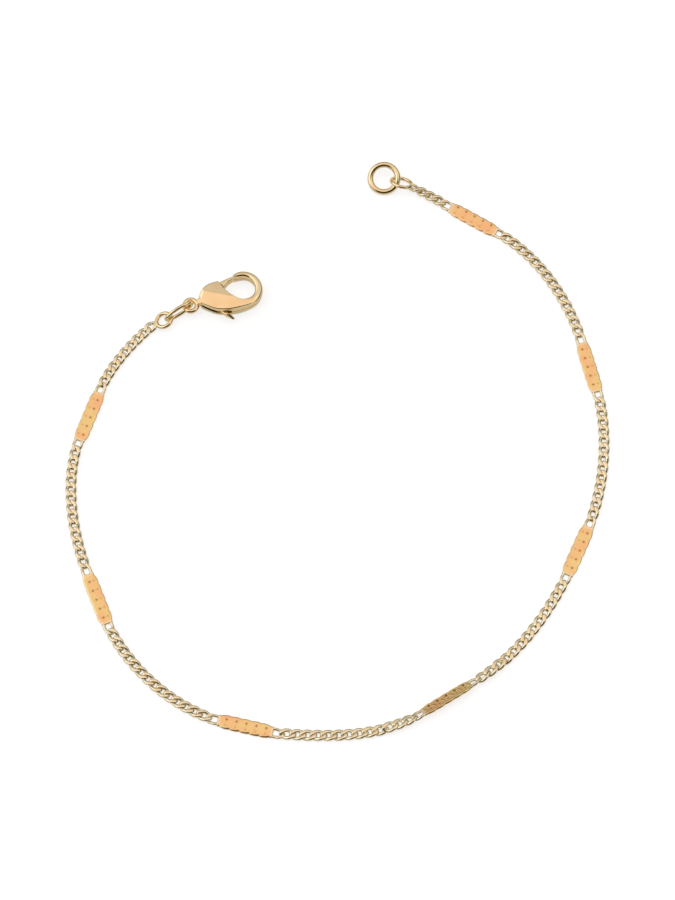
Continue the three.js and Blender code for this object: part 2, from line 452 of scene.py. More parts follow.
@dataclass
class Route:
    """A stretch of chain's centre line: a cubic curve that leaves and meets its ends near their headings.

    Attributes:
        start: where the first piece's hole is, x, y and z in millimetres.
        end: where the last piece's hole is.
        start_heading: the way the chain leaves, in degrees.
        end_heading: the way the chain arrives.
        samples: points worked out along the curve.
    """

    start: Array
    end: Array
    start_heading: float
    end_heading: float
    samples: int = 400

    def places(self, count: int) -> tuple[Array, Array, float]:
        """Evenly spaced places for links between the two ends.

        The line is the cubic whose corners are the ends and a point a third of the way from each along its heading.

        Args:
            count: how many links.

        Returns:
            Their x, y, z; their headings in degrees; and the distance between them.
        """
        handle = np.linalg.norm((self.end - self.start)[:2]) / 3
        ways = np.radians([self.start_heading, self.end_heading])
        leave, meet = handle * np.stack([np.cos(ways), np.sin(ways), 0 * ways], -1)
        corners = np.array([self.start, self.start + leave, self.end - meet, self.end])
        u = np.linspace(0, 1, self.samples)[:, None]
        line = np.hstack([(1 - u) ** 3, 3 * u * (1 - u) ** 2, 3 * u**2 * (1 - u), u**3]) @ corners
        run = run_of(line)
        at = run[-1] * np.arange(1, count + 1) / (count + 1)
        points = np.stack([np.interp(at, run, line[:, i]) for i in range(3)], -1)
        slope = np.gradient(line, axis=0)
        headings = np.interp(at, run, np.unwrap(np.arctan2(slope[:, 1], slope[:, 0])))
        return points, np.degrees(headings), run[-1] / (count + 1)


@dataclass(frozen=True)
class Slit:
    """What pressing leaves of a link's hole: an open mouth, an all but closed end, and a hairline between them.

    Attributes:
        offset: how far behind its link's middle it lies.
        depth: how deep the mouth is.
        mouth: the mouth's reach along and across the plate.
        far: how far from the middle line the closed end lies.
        closed: the closed end's reach along and across.
        closed_share: the closed end's depth beside the mouth's.
        hairline: the hairline's reach along.
        hairline_share: its depth beside the mouth's.
        bow: how strongly the hairline is bowed.
        hairline_end: how far from the middle line the hairline ends.
    """

    offset: float = 0.08
    depth: float = 0.016
    mouth: tuple[float, float] = (0.13, 0.14)
    far: float = 0.38
    closed: tuple[float, float] = (0.12, 0.12)
    closed_share: float = 0.4
    hairline: float = 0.05
    hairline_share: float = 0.16
    bow: float = 0.25
    hairline_end: float = 0.5

    def share(self, off: Array, across: Array, mouth_at: float) -> Array:
        """How far into the slit each place lies: the greatest of three bells, each exp(-(distance / reach) ** 2).

        Args:
            off: distance from the slit, along the plate.
            across: distance from the plate's middle, to the left.
            mouth_at: where the mouth lies across the plate.

        Returns:
            1 in the mouth's middle, 0 outside.
        """
        end_at = -self.far * np.sign(mouth_at)
        mouth = np.exp(-((off / self.mouth[0]) ** 2) - ((across - mouth_at) / self.mouth[1]) ** 2)
        closed = np.exp(-((off / self.closed[0]) ** 2) - ((across - end_at) / self.closed[1]) ** 2)
        bowed = off - self.bow * (across - mouth_at) ** 2
        hairline = np.exp(-((bowed / self.hairline) ** 2)) * smooth(self.hairline_end - np.abs(across), 0.0, 0.15)
        return np.maximum(np.maximum(mouth, self.closed_share * closed), self.hairline_share * hairline)


@dataclass(frozen=True)
class Station:
    """Seven links of the chain pressed into one plate: five flat and fused to the eye, one open loop at each end.

    Attributes:
        name: the CAD node.
        heading: the way its length points, in degrees.
        lean: how far its left-hand side is raised, in degrees.
        pits: how far to the left the slits' mouths lie.
        arrive: how far the chain turns off its heading behind.
        leave: how far the chain turns off its heading in front.
        pitch: the pressed links' spacing.
        hole_spacing: distance between the places where the chain goes through the end loops.
        width: over all, across.
        thickness: the plate's.
        scallop: how deep the notches are between the pressed links' edges.
        half_length: half the plate's length.
        taper_from: distance from the middle at which the plate starts to narrow.
        taper: the share of its width that it loses, and what its corners lose besides.
        bevel: width of the rounded edge.
        edge_angles: the edge's slope near the face, further out and at the rim, in degrees.
        rim: half thickness of the outermost edge.
        groove: depth and half width of the groove where one link laps the next.
        lap_sway: how far a lap's line sways, as a share of the pitch.
        crown: how far each link's face falls from its middle to its laps.
        fade: length at each end over which the pressed tint gives way to that of drawn wire.
        slit: what is left of each pressed link's hole.
        loop: the half-pressed link at each end.
        loop_length: that link's inside length.
        loop_twist: how far its outer end is still turned, in degrees.
        loop_inset: how far its middle lies inside the place where the chain goes through.
        face_band: how far below the flat the points still carry the face's grooves and slits.
        end_round: where the ends begin to round off and how far that goes on, as shares of the half length.
        grid: points along the plate, across a face and over an edge.
    """

    name: str
    heading: float
    lean: float
    pits: float
    arrive: float
    leave: float
    pitch: float = 1.15
    hole_spacing: float = 7.45
    width: float = 1.72
    thickness: float = 0.36
    scallop: float = 0.09
    half_length: float = 3.25
    taper_from: float = 1.9
    taper: tuple[float, float] = (0.2, 0.12)
    bevel: float = 0.2
    edge_angles: tuple[float, float, float] = (14.0, 26.0, 80.0)
    rim: float = 0.008
    groove: tuple[float, float] = (0.006, 0.07)
    lap_sway: float = 0.16
    crown: float = 0.003
    fade: float = 0.5
    slit: Slit = Slit()
    loop: CurbLink = CurbLink(wire=0.36, width=1.28, flat=0.5, square=0.82)
    loop_length: float = 1.36
    loop_twist: float = -38.0
    loop_inset: float = 0.12
    face_band: float = 0.02
    end_round: tuple[float, float] = (0.965, 0.036)
    grid: tuple[int, int, int] = (190, 31, 16)

    def centre(self) -> Array:
        """Where the CAD holds its middle, in millimetres."""
        return middle_of(self.name)

    def turn(self) -> Array:
        """How it lies."""
        return turned(self.heading, self.lean)

    def hole(self, side: Side) -> Array:
        """Where the chain passes through the loop at one end, in millimetres."""
        return self.centre() + self.turn() @ np.array([side.value * self.hole_spacing / 2, 0, 0])

    def half_width(self, along: Array) -> Array:
        """Half the plate's width at each place along it.

        Each flattened link bulges as a shallow arc, width / 2 - scallop * phase ** 2.6, and the plate narrows towards
        its ends by taper * end ** 1.5, with rounded corners.

        Args:
            along: distance from the middle, along the length.

        Returns:
            Half widths.
        """
        phase = np.abs((along / self.pitch + 0.5) % 1.0 - 0.5) * 2
        arcs = self.width / 2 - self.scallop * phase**2.6
        end = np.clip((np.abs(along) - self.taper_from) / (self.half_length - self.taper_from), 0, 1)
        share, corner = self.taper
        return arcs * (1 - share * end**1.5) - corner * (1 - np.sqrt(1 - end**16))

    def edge_fall(self, out: Array) -> Array:
        """How far the rounded edge lies below the face: the tangent of its slope, summed over the way out.

        Args:
            out: rising distances from the edge of the flat, from 0 to the bevel.

        Returns:
            Depths in millimetres.
        """
        near, further, rim = self.edge_angles
        share = out / self.bevel
        angle = near + (further - near) * smooth(share, 0.45, 0.55) + (rim - further) * smooth(share, 0.7, 1.0)
        slope = np.tan(np.radians(angle))
        return np.concatenate([[0], np.cumsum((slope[1:] + slope[:-1]) / 2 * np.diff(out))])

    def plate(self) -> tuple[Shell, Array]:
        """The flat middle part.

        A section is carried along the length: flat faces with rounded edges. The faces are then lowered by the
        grooves where one link laps the next and by the slits that are left of the links' holes, and the last few
        hundredths of the length round off as sqrt(1 - x ** 2).

        Returns:
            The closed shell, and for each of its corners how far it lies in a slit, from 0 to 1.
        """
        rows, columns, steps = self.grid
        along = self.half_length * np.sin(np.linspace(-np.pi / 2, np.pi / 2, rows) * 0.995)
        flat = np.linspace(-1, 1, columns)
        out = np.linspace(0, self.bevel, steps)
        high = np.maximum(self.thickness / 2 - self.edge_fall(out), self.rim)[1:]
        side = np.ones(2 * len(high))
        top = 0 * flat + self.thickness / 2
        reach = np.concatenate([flat[::-1], -side, flat, side])
        beyond = np.concatenate([0 * flat, -out[1:], -out[:0:-1], 0 * flat, out[1:], out[:0:-1]])
        level = np.concatenate([top, high, -high[::-1], -top, -high, high[::-1]])
        across = (self.half_width(along)[:, None] - self.bevel) * reach + beyond
        x = np.repeat(along[:, None], across.shape[1], 1)
        faces = np.abs(level) > self.thickness / 2 - self.face_band
        slits = self.slits(x, across) * faces
        begin, span = self.end_round
        ends = np.sqrt(1 - np.clip((np.abs(x) / self.half_length - begin) / span, 0, 0.995) ** 2)
        z = (level - np.sign(level) * faces * (self.laps(x, across) + self.slit.depth * slits)) * ends
        return Shell.rod(np.stack([x, across, z], -1)), slits.ravel()

    def laps(self, along: Array, across: Array) -> Array:
        """How far the faces lie below the flat where one link laps the next.

        Args:
            along: distance from the middle, along the length.
            across: distance from the middle, to the left.

        Returns:
            Depths in millimetres: a faint crown on each link and a groove at each lap.
        """
        sway = self.lap_sway * np.sin(across / self.width * 2 * np.pi)
        lap = (along / self.pitch + sway + 0.5) % 1.0 - 0.5
        depth, reach = self.groove
        return depth * np.exp(-(((np.abs(lap) - 0.5) * self.pitch / reach) ** 2)) + self.crown * (2 * lap) ** 2

    def slits(self, along: Array, across: Array) -> Array:
        """How far into one of the five slits each place lies.

        Args:
            along: distance from the middle, along the length.
            across: distance from the middle, to the left.

        Returns:
            1 in the middle of a slit's mouth, 0 outside.
        """
        shifted = along + self.slit.offset
        nearest = np.clip(np.round(shifted / self.pitch), -2, 2)
        return self.slit.share(shifted - nearest * self.pitch, across, self.pits)

    def end_loop(self, side: Side) -> Shell:
        """The half-pressed link at one end, flat where it joins the plate and still twisted outside.

        Args:
            side: which end.

        Returns:
            The closed shell.
        """
        twists = (0.0, self.loop_twist) if side is Side.FRONT else (self.loop_twist, 0.0)
        place = np.array([side.value * (self.hole_spacing / 2 - self.loop_inset), 0, 0])
        return replace(self.loop, twists=twists).shell(self.loop_length).laid(np.eye(3), place)

    def build(self, metal: bpy.types.Material, body: str) -> bpy.types.Object:
        """Makes and dresses the station.

        Args:
            metal: its material.
            body: the CAD body that it rides on.

        Returns:
            The object.
        """
        plate, slits = self.plate()
        parts = [plate, *(self.end_loop(side) for side in Side)]
        made = Shell.joined(parts).laid(self.turn(), self.centre()).to_object(f"station_{self.name[-1]}")
        loops = (0, len(made.data.vertices) - len(slits))
        fading = 1 - smooth(np.abs(plate.points[:, 0]), self.half_length - self.fade, self.half_length)
        # Painted shade: the slits' mask darkens the metal's tint there.
        mark(made, "recess", np.pad(slits, loops))
        mark(made, "pressed", np.pad(fading, loops))
        dress(made, metal, body, self.name)
        return made


@dataclass
class Stretch:
    """A run of curb links between two stations or rings.

    Attributes:
        name: the CAD node.
        route: its centre line.
        count: how many links.
        rolls: how far the links lie over about their length at the start and the end, in degrees.
        settle: links over which that roll dies away.
        scatter: how far links stray from their roll and their heading, in degrees.
        hanging: roll past which a link keeps its route's height instead of lying on the floor, in degrees.
        link: one link.
    """

    name: str
    route: Route
    count: int
    rolls: tuple[float, float] = (0.0, 0.0)
    settle: float = 2.2
    scatter: tuple[float, float] = (2.5, 1.2)
    hanging: float = 8.0
    link: CurbLink = CurbLink()

    def build(self, metal: bpy.types.Material, body: str) -> bpy.types.Object:
        """Makes and dresses the chain.

        Args:
            metal: its material.
            body: the CAD body that it rides on.

        Returns:
            The object.
        """
        points, headings, pitch = self.route.places(self.count)
        steps = np.arange(1, self.count + 1)
        chance = np.random.default_rng(SEED + self.count + int(self.name[-1]))
        begin, end = np.exp(-steps / self.settle), np.exp(-(self.count + 1 - steps) / self.settle)
        rolls = self.rolls[0] * begin + self.rolls[1] * end + chance.normal(0, self.scatter[0], self.count)
        headings = headings + chance.normal(0, self.scatter[1], self.count)
        one = self.link.shell(pitch)
        links = []
        for point, heading, roll in zip(points, headings, rolls):
            lying = one.laid(turned(heading, roll), np.zeros(3))
            height = max(-lying.points[:, 2].min(), point[2] if abs(roll) > self.hanging else 0)
            links.append(Shell(lying.points + np.array([point[0], point[1], height]), lying.quads))
        made = Shell.joined(links).to_object(f"links_{self.name[-1]}")
        dress(made, metal, body, self.name)
        return made


@dataclass
class Ring:
    """A closed ring or oval link of round wire.

    Attributes:
        name: the CAD node.
        length: over all.
        width: over all, across.
        wire: the wire's diameter.
        heading: the way its length points, in degrees.
        lean: how far its left-hand side is raised, in degrees.
        pitch: how far its front end is raised, in degrees.
        steps: points along the wire.
        sides: points round the wire.
    """

    name: str
    length: float
    width: float
    wire: float
    heading: float
    lean: float
    pitch: float
    steps: int = 128
    sides: int = 32

    def centre(self) -> Array:
        """Where the CAD holds its middle, in millimetres."""
        return middle_of(self.name)

    def shell(self) -> Shell:
        """The ring about its own middle: round wire carried round the oval x = a cos t, y = b sin t.

        Returns:
            The closed shell.
        """
        t = np.linspace(0, 2 * np.pi, self.steps, endpoint=False)
        a, b = (self.length - self.wire) / 2, (self.width - self.wire) / 2
        centre = np.stack([a * np.cos(t), b * np.sin(t), 0 * t], -1)
        across = np.broadcast_to([0.0, 0.0, 1.0], centre.shape)
        return Shell.ring(wire_round(centre, across, self.wire / 2, self.sides))

    def build(self, metal: bpy.types.Material, body: str) -> bpy.types.Object:
        """Makes and dresses the ring.

        Args:
            metal: its material.
            body: the CAD body that it rides on.

        Returns:
            The object.
        """
        laid = self.shell().laid(turned(self.heading, self.lean, self.pitch), self.centre())
        made = laid.to_object(f"{self.name}_wire")
        dress(made, metal, body, self.name)
        return made


def bend(start: tuple[float, float], pull: tuple[float, float], end: tuple[float, float], count: int = 24) -> Array:
    """A curve from start to end drawn towards pull: (1-t)^2 start + 2t(1-t) pull + t^2 end.

    Args:
        start: its first point.
        pull: the point that it leans to.
        end: its last point.
        count: how many points.

    Returns:
        The points, one row each.
    """
    t = np.linspace(0, 1, count)[:, None]
    return (1 - t) ** 2 * np.array(start) + 2 * t * (1 - t) * np.array(pull) + t**2 * np.array(end)


def arc(centre: tuple[float, float], radius: float, start: float, end: float, count: int = 64) -> Array:
    """Points on a circle.

    Args:
        centre: its middle.
        radius: its radius.
        start: the first point's angle in degrees.
        end: the last point's angle.
        count: how many points.

    Returns:
        The points, one row each.
    """
    angle = np.radians(np.linspace(start, end, count))[:, None]
    return np.array(centre) + radius * np.concatenate([np.cos(angle), np.sin(angle)], 1)


def evenly(parts: list[Array], marks: list[float], at: Array) -> Array:
    """Points along joined curves, each part given its own share of the whole.

    Args:
        parts: the curves in order, each starting where the last ends.
        marks: the value reached at the end of each part, rising from 0 to 1.
        at: the values wanted.

    Returns:
        One point for each value.
    """
    values = []
    for part, low, high in zip(parts, [0.0, *marks[:-1]], marks):
        run = run_of(part)
        values.append(low + (high - low) * run / run[-1])
    value, point = np.concatenate(values), np.concatenate(parts)
    return np.stack([np.interp(at, value, point[:, i]) for i in (0, 1)], -1)


def smooth(value: Array, low: float, high: float) -> Array:
    """0 below low, 1 above high, and a smooth step between."""
    t = np.clip((value - low) / (high - low), 0, 1)
    return t * t * (3 - 2 * t)


def lowest(fields: list[Array], soft: float) -> Array:
    """The lowest of several heights, with the edge between two of them rounded: -soft * log(sum(exp(-h / soft))).

    Args:
        fields: the heights.
        soft: how far the rounding reaches, in millimetres.

    Returns:
        One height for each place.
    """
    stack = np.stack(fields)
    base = stack.min(0)
    return base - soft * np.log(np.exp(-(stack - base) / soft).sum(0))


@dataclass
class Band:
    """A flat shape between two edges, with a face above and a face below.

    Attributes:
        outer: points of one edge.
        inner: points of the other edge, matched one to one.
        across: points across each face.
        round_top: radius of the upper edges.
        round_low: radius of the lower edges.
        skirt: how far in from the edge the wall begins.
        draft: the wall's slope in degrees.
        thinnest: the least thickness.
    """

    outer: Array
    inner: Array
    across: int
    round_top: float
    round_low: float
    skirt: float = 0.0
    draft: float = 77.0
    thinnest: float = 0.02

    def shell(self, above: Callable[[Array, Array], Array], below: Callable[[Array, Array], Array]) -> Shell:
        """The solid between two faces.

        A point is outer + r * (inner - outer) with r = (1 - cos(pi x)) / 2, at the height that its face gives. Near an
        edge the upper face falls and the lower face rises along a quarter circle; the upper face then falls on, within
        the skirt, at the slope of the draft, but never past the lower face.

        Args:
            above: the upper face's height for a place in the plan.
            below: the lower face's height.

        Returns:
            The closed shell.
        """
        r = (1 - np.cos(np.pi * np.linspace(0, 1, self.across))) / 2
        plan = self.outer[:, None] + (self.inner - self.outer)[:, None] * r[None, :, None]
        width = np.linalg.norm(self.inner - self.outer, axis=1)[:, None]
        edge = width * np.minimum(r, 1 - r)[None]
        face = above(plan[..., 0], plan[..., 1])
        base = below(plan[..., 0], plan[..., 1])
        drop = self.fall(edge, np.minimum(self.round_top, 0.3 * width))
        drop = drop + np.tan(np.radians(self.draft)) * np.maximum(self.skirt - edge, 0)
        top = face - np.minimum(drop, face - base - self.thinnest)
        low = base + self.fall(edge, np.minimum(self.round_low, 0.45 * width))
        low = np.minimum(low, top - self.thinnest)
        upper = np.concatenate([plan, top[..., None]], -1)
        lower = np.concatenate([plan, low[..., None]], -1)
        return Shell.rod(np.concatenate([upper, lower[:, ::-1]], 1))

    @staticmethod
    def fall(edge: Array, radius: Array) -> Array:
        """How far a rounded edge lies below its face at a distance from the edge: r - sqrt(r^2 - (r - d)^2)."""
        inside = radius - np.minimum(edge, radius)
        return radius - np.sqrt(np.maximum(radius**2 - inside**2, 0))


def past(line: tuple[float, float, float, float], u: Array, w: Array) -> Array:
    """How far a place lies past a line, given as one of its points and the direction square to it."""
    return (u - line[0]) * line[2] + (w - line[1]) * line[3]


@dataclass
class LobsterClasp:
    """A cast lobster clasp: two cheeks joined round the hook, a sprung lever between them, a pin, and a tail ring.

    The clasp has its own axes: u runs from the tail ring to the hook, w to the gate's side, z up.

    Attributes:
        pivot: the pin's place in u and w.
        heading: the way u points, in degrees.
        crown: half thickness at the ridge.
        ridge: the line between the spine's facet and the gate side's, as a point and the direction square to it.
        shoulder: the line where the facet towards the tail begins, in the same way.
        slopes: how steeply the spine's, the gate side's, the tail's and the hook's facets fall or rise.
        neck: half thickness where the tail ring joins.
        front: how far along the body the facet towards the hook begins.
        hook_span: where the body gives way to the hook, along u + 0.8 * w.
        eye: the middle of the circle that the hook's ridge follows.
        hook: half thickness at the hook's ridge, that circle's radius, and the slope either side of it.
        slant: the eye's edge beside the gate runs along u + slant * w.
        slot: half height of the space that the lever turns in.
        relief: how much higher that space is where the gate swings.
        hole: radius of the blind hole for the pin, and how far it goes on past the slot.
        lever_half: half thickness of the lever between the cheeks, and how much thicker the gate stands clear of them.
        thumb: how much thicker the thumb nub is.
        hub: radius of the lever round the pin.
        pin_size: the pin's radius and half its length.
        rows: points along the body, and along the lever.
    """

    pivot: tuple[float, float] = (2.85, 0.55)
    heading: float = 12.5
    crown: float = 1.1
    ridge: tuple[float, float, float, float] = (1.84, 1.0, 0.405, 0.914)
    shoulder: tuple[float, float, float, float] = (1.3, -0.52, 0.953, -0.303)
    slopes: tuple[float, float, float, float] = (0.1, -0.21, 0.55, -0.12)
    neck: float = 0.42
    front: float = 4.9
    hook_span: tuple[float, float] = (5.6, 7.2)
    eye: tuple[float, float] = (6.48, 0.54)
    hook: tuple[float, float, float] = (0.88, 1.84, 0.34)
    slant: float = 0.44
    slot: float = 0.34
    relief: float = 0.36
    hole: tuple[float, float] = (0.4, 0.3)
    lever_half: tuple[float, float] = (0.28, 0.34)
    thumb: float = 0.16
    hub: float = 0.72
    pin_size: tuple[float, float] = (0.28, 0.85)
    rows: tuple[int, int] = (240, 150)

    def body_edges(self) -> tuple[Array, Array]:
        """The body's two edges from the neck to the hook's tip: the spine and outside, then the shoulder and eye.

        Returns:
            The outer and the inner edge, one row for each place along the body.
        """
        at = np.linspace(0, 1, self.rows[0])
        outer = [
            bend((0.75, -0.3), (1.0, -0.26), (1.2, -0.3), 8),
            bend((1.2, -0.3), (1.6, -0.7), (2.5, -1.3)),
            bend((2.5, -1.3), (3.4, -1.85), (5.0, -1.9)),
            bend((5.0, -1.9), (6.6, -1.9), (7.692, -1.438)),
            arc((6.5, 0.51), 2.27, -58, 86),
            bend((6.58, 2.78), (5.95, 2.76), (5.6, 2.42)),
        ]
        inner = [
            bend((0.75, 0.45), (1.0, 0.5), (1.2, 0.8), 8),
            bend((1.2, 0.8), (1.5, 1.5), (2.35, 1.9)),
            bend((2.35, 1.9), (3.0, 2.2), (3.7, 2.13)),
            bend((3.7, 2.13), (3.85, 2.05), (4.2, 1.1)),
            bend((4.2, 1.1), (4.8, 0.05), (5.53, -0.525)),
            arc((6.45, 0.61), 1.46, -129, -58),
            arc((6.45, 0.61), 1.46, -58, 86),
            bend((6.5, 2.07), (6.1, 2.1), (5.59, 2.14)),
        ]
        return (
            evenly(outer, [0.04, 0.16, 0.33, 0.5, 0.9, 1.0], at),
            evenly(inner, [0.04, 0.15, 0.24, 0.29, 0.4, 0.5, 0.9, 1.0], at),
        )

    def crown_height(self, u: Array, w: Array) -> Array:
        """Half thickness: facets either side of a ridge, a shoulder down to the tail, and a thinner, ridged hook.

        The body is the lowest of four planes, each crown + slope * distance past its line. The hook is a roof over a
        circle about the eye, and a smooth step leads from one to the other.

        Args:
            u: distance towards the hook.
            w: distance towards the gate's side.

        Returns:
            Heights above the mid plane.
        """
        off_ridge = past(self.ridge, u, w)
        spine, gate_side, tail, forward = self.slopes
        facets = [
            self.crown + spine * off_ridge,
            self.crown + gate_side * off_ridge,
            self.crown - 0.01 + tail * past(self.shoulder, u, w),
            self.crown + forward * (u - self.front) + 0 * w,
        ]
        top, radius, slope = self.hook
        off_circle = np.hypot(np.hypot(u - self.eye[0], w - self.eye[1]) - radius, 0.03)
        hook = top - 0.05 * (u - 6.5) - slope * off_circle - 0.02 * w
        ahead = smooth(u + 0.8 * w, *self.hook_span)
        neck = self.neck + 3.0 * smooth(u, 1.12, 1.5)
        return np.minimum((1 - ahead) * lowest(facets, 0.012) + ahead * hook, np.where(u < 1.5, neck, np.inf))

    def pocket_height(self, u: Array, w: Array) -> Array:
        """Half height of the space for the lever, higher where the gate swings, and of the blind hole for its pin.

        The space is a straight-sided area between the cheeks; its depth past each side, if positive, opens it.

        Args:
            u: distance towards the hook.
            w: distance towards the gate's side.

        Returns:
            Heights above the mid plane; 0 where the cheeks meet.
        """
        corners = np.array([(1.2, -0.35), (3.0, 2.7), (4.6, 2.7), (5.2, 1.0), (4.55, -2.4), (1.1, -2.4)])
        ways = unit(np.roll(corners, -1, 0) - corners)
        depth = np.min([past((*corner, way[1], -way[0]), u, w) for corner, way in zip(corners, ways)], axis=0)
        radius, deeper = self.hole
        hole = smooth(radius - np.hypot(u - self.pivot[0], w - self.pivot[1]), 0.0, 0.04)
        relief = self.relief * smooth(u + self.slant * w, 4.45, 4.6) * smooth(w, -0.4, -0.2)
        return (self.slot + relief) * smooth(depth, 0.0, 0.08) + deeper * hole

    def body(self) -> Shell:
        """Both cheeks with the hook, and the tail ring.

        Returns:
            The closed shells.
        """
        band = Band(*self.body_edges(), across=60, round_top=0.2, round_low=0.08, skirt=0.05)
        cheek = band.shell(self.crown_height, self.pocket_height)
        other = Shell(cheek.points * np.array([1, 1, -1]), cheek.quads[:, ::-1], [cap[::-1] for cap in cheek.caps])
        tail = Ring("tail", 2.05, 2.05, 0.56, 0, 0, 0).shell()
        return Shell.joined([cheek, other, tail])

    def lever(self) -> Shell:
        """The lever: thumb nub, hub and gate in one plate.

        Returns:
            The closed shell.
        """
        at = np.linspace(0, 1, self.rows[1])
        right = [
            bend((4.75, -2.8), (4.65, -2.5), (4.1, -1.9)),
            bend((4.1, -1.9), (3.95, -0.9), (3.67, 0.25)),
            bend((3.67, 0.25), (3.75, 0.7), (4.3, 1.25)),
            bend((4.3, 1.25), (4.85, 1.85), (5.54, 2.06)),
        ]
        left = [
            bend((4.5, -2.85), (4.1, -2.5), (3.42, -1.85)),
            bend((3.42, -1.85), (3.2, -0.9), (2.66, -0.145)),
            arc(self.pivot, self.hub, 255, 105),
            bend((2.66, 1.245), (3.1, 1.85), (3.75, 2.08)),
            bend((3.75, 2.08), (4.5, 2.28), (5.56, 2.38)),
        ]
        edges = evenly(right, [0.2, 0.5, 0.7, 1.0], at), evenly(left, [0.2, 0.35, 0.55, 0.75, 1.0], at)
        band = Band(*edges, across=30, round_top=0.2, round_low=0.2)
        return band.shell(self.lever_height, lambda u, w: -self.lever_height(u, w))

    def lever_height(self, u: Array, w: Array) -> Array:
        """Half thickness of the lever: thin between the cheeks, thicker where the gate stands clear of them.

        Args:
            u: distance towards the hook.
            w: distance towards the gate's side.

        Returns:
            Heights above the mid plane.
        """
        hidden, raised = self.lever_half
        clear = smooth(u + self.slant * w, 4.72, 4.86) * smooth(w, 0.6, 1.0)
        fall = 0.24 * (w - 1.2 - 0.75 * (u - 4.2))
        thumb = smooth(-w, 2.12, 2.2) * (self.thumb - 0.5 * np.maximum(-w - 2.2, 0))
        return hidden + (raised - fall) * clear + thumb

    def pin(self) -> Shell:
        """The pin: a short rod with domed ends, its radius r * sqrt(1 - |z / h| ** 10).

        Returns:
            The closed shell.
        """
        radius, half = self.pin_size
        height = half * np.sin(np.linspace(-np.pi / 2, np.pi / 2, 25))
        round_it = radius * (1 - np.abs(height / (half + 0.02)) ** 10) ** 0.5
        s = np.linspace(0, 2 * np.pi, 40, endpoint=False)
        plan = round_it[:, None, None] * np.stack([np.cos(s), np.sin(s)], -1)
        grid = np.concatenate([plan, np.broadcast_to(height[:, None, None], (25, 40, 1))], -1)
        return Shell.rod(grid).laid(np.eye(3), (*self.pivot, 0.0))

    def build(self, metal: bpy.types.Material, body_of: dict[str, str], pin_at: Array) -> list[bpy.types.Object]:
        """Makes and dresses the clasp's three pieces.

        Args:
            metal: their material.
            body_of: the CAD body that each node rides on.
            pin_at: where the record's joint puts the pin, in millimetres.

        Returns:
            The objects.
        """
        turn = turned(self.heading)
        place = pin_at - turn @ np.array([*self.pivot, 0.0])
        made = []
        for name, node, shell in (
            ("clasp_cheeks", "clasp_body", self.body()),
            ("clasp_gate", "clasp_lever", self.lever()),
            ("clasp_pin", "clasp_rivet", self.pin()),
        ):
            piece = shell.laid(turn, place).to_object(name)
            dress(piece, metal, body_of[node], node)
            made.append(piece)
        return made


@dataclass(frozen=True)
class Lobe:
    """A soft change of the sky's light about one way.

    Attributes:
        toward: the way, of any length.
        span: how nearly a direction points that way, as a cosine, where the change begins and ends.
        values: before and after.
    """

    toward: tuple[float, float, float]
    span: tuple[float, float]
    values: tuple[float, float]

    def node(self, tree: bpy.types.NodeTree, way: bpy.types.Node) -> bpy.types.Node:
        """Adds the change as a smooth step of the dot product of the direction and the way.

        Args:
            tree: the world's node tree.
            way: the node that gives the direction.

        Returns:
            The node whose first output is the value.
        """
        towards = {1: tuple(np.array(self.toward) / np.linalg.norm(self.toward))}
        facing = add_node(tree, "ShaderNodeVectorMath", towards, {0: (way, "Generated")}, operation="DOT_PRODUCT")
        (begin, end), (before, after) = self.span, self.values
        numbers = {"From Min": begin, "From Max": end, "To Min": before, "To Max": after}
        links = {"Value": (facing, "Value")}
        return add_node(tree, "ShaderNodeMapRange", numbers, links, interpolation_type="SMOOTHSTEP")


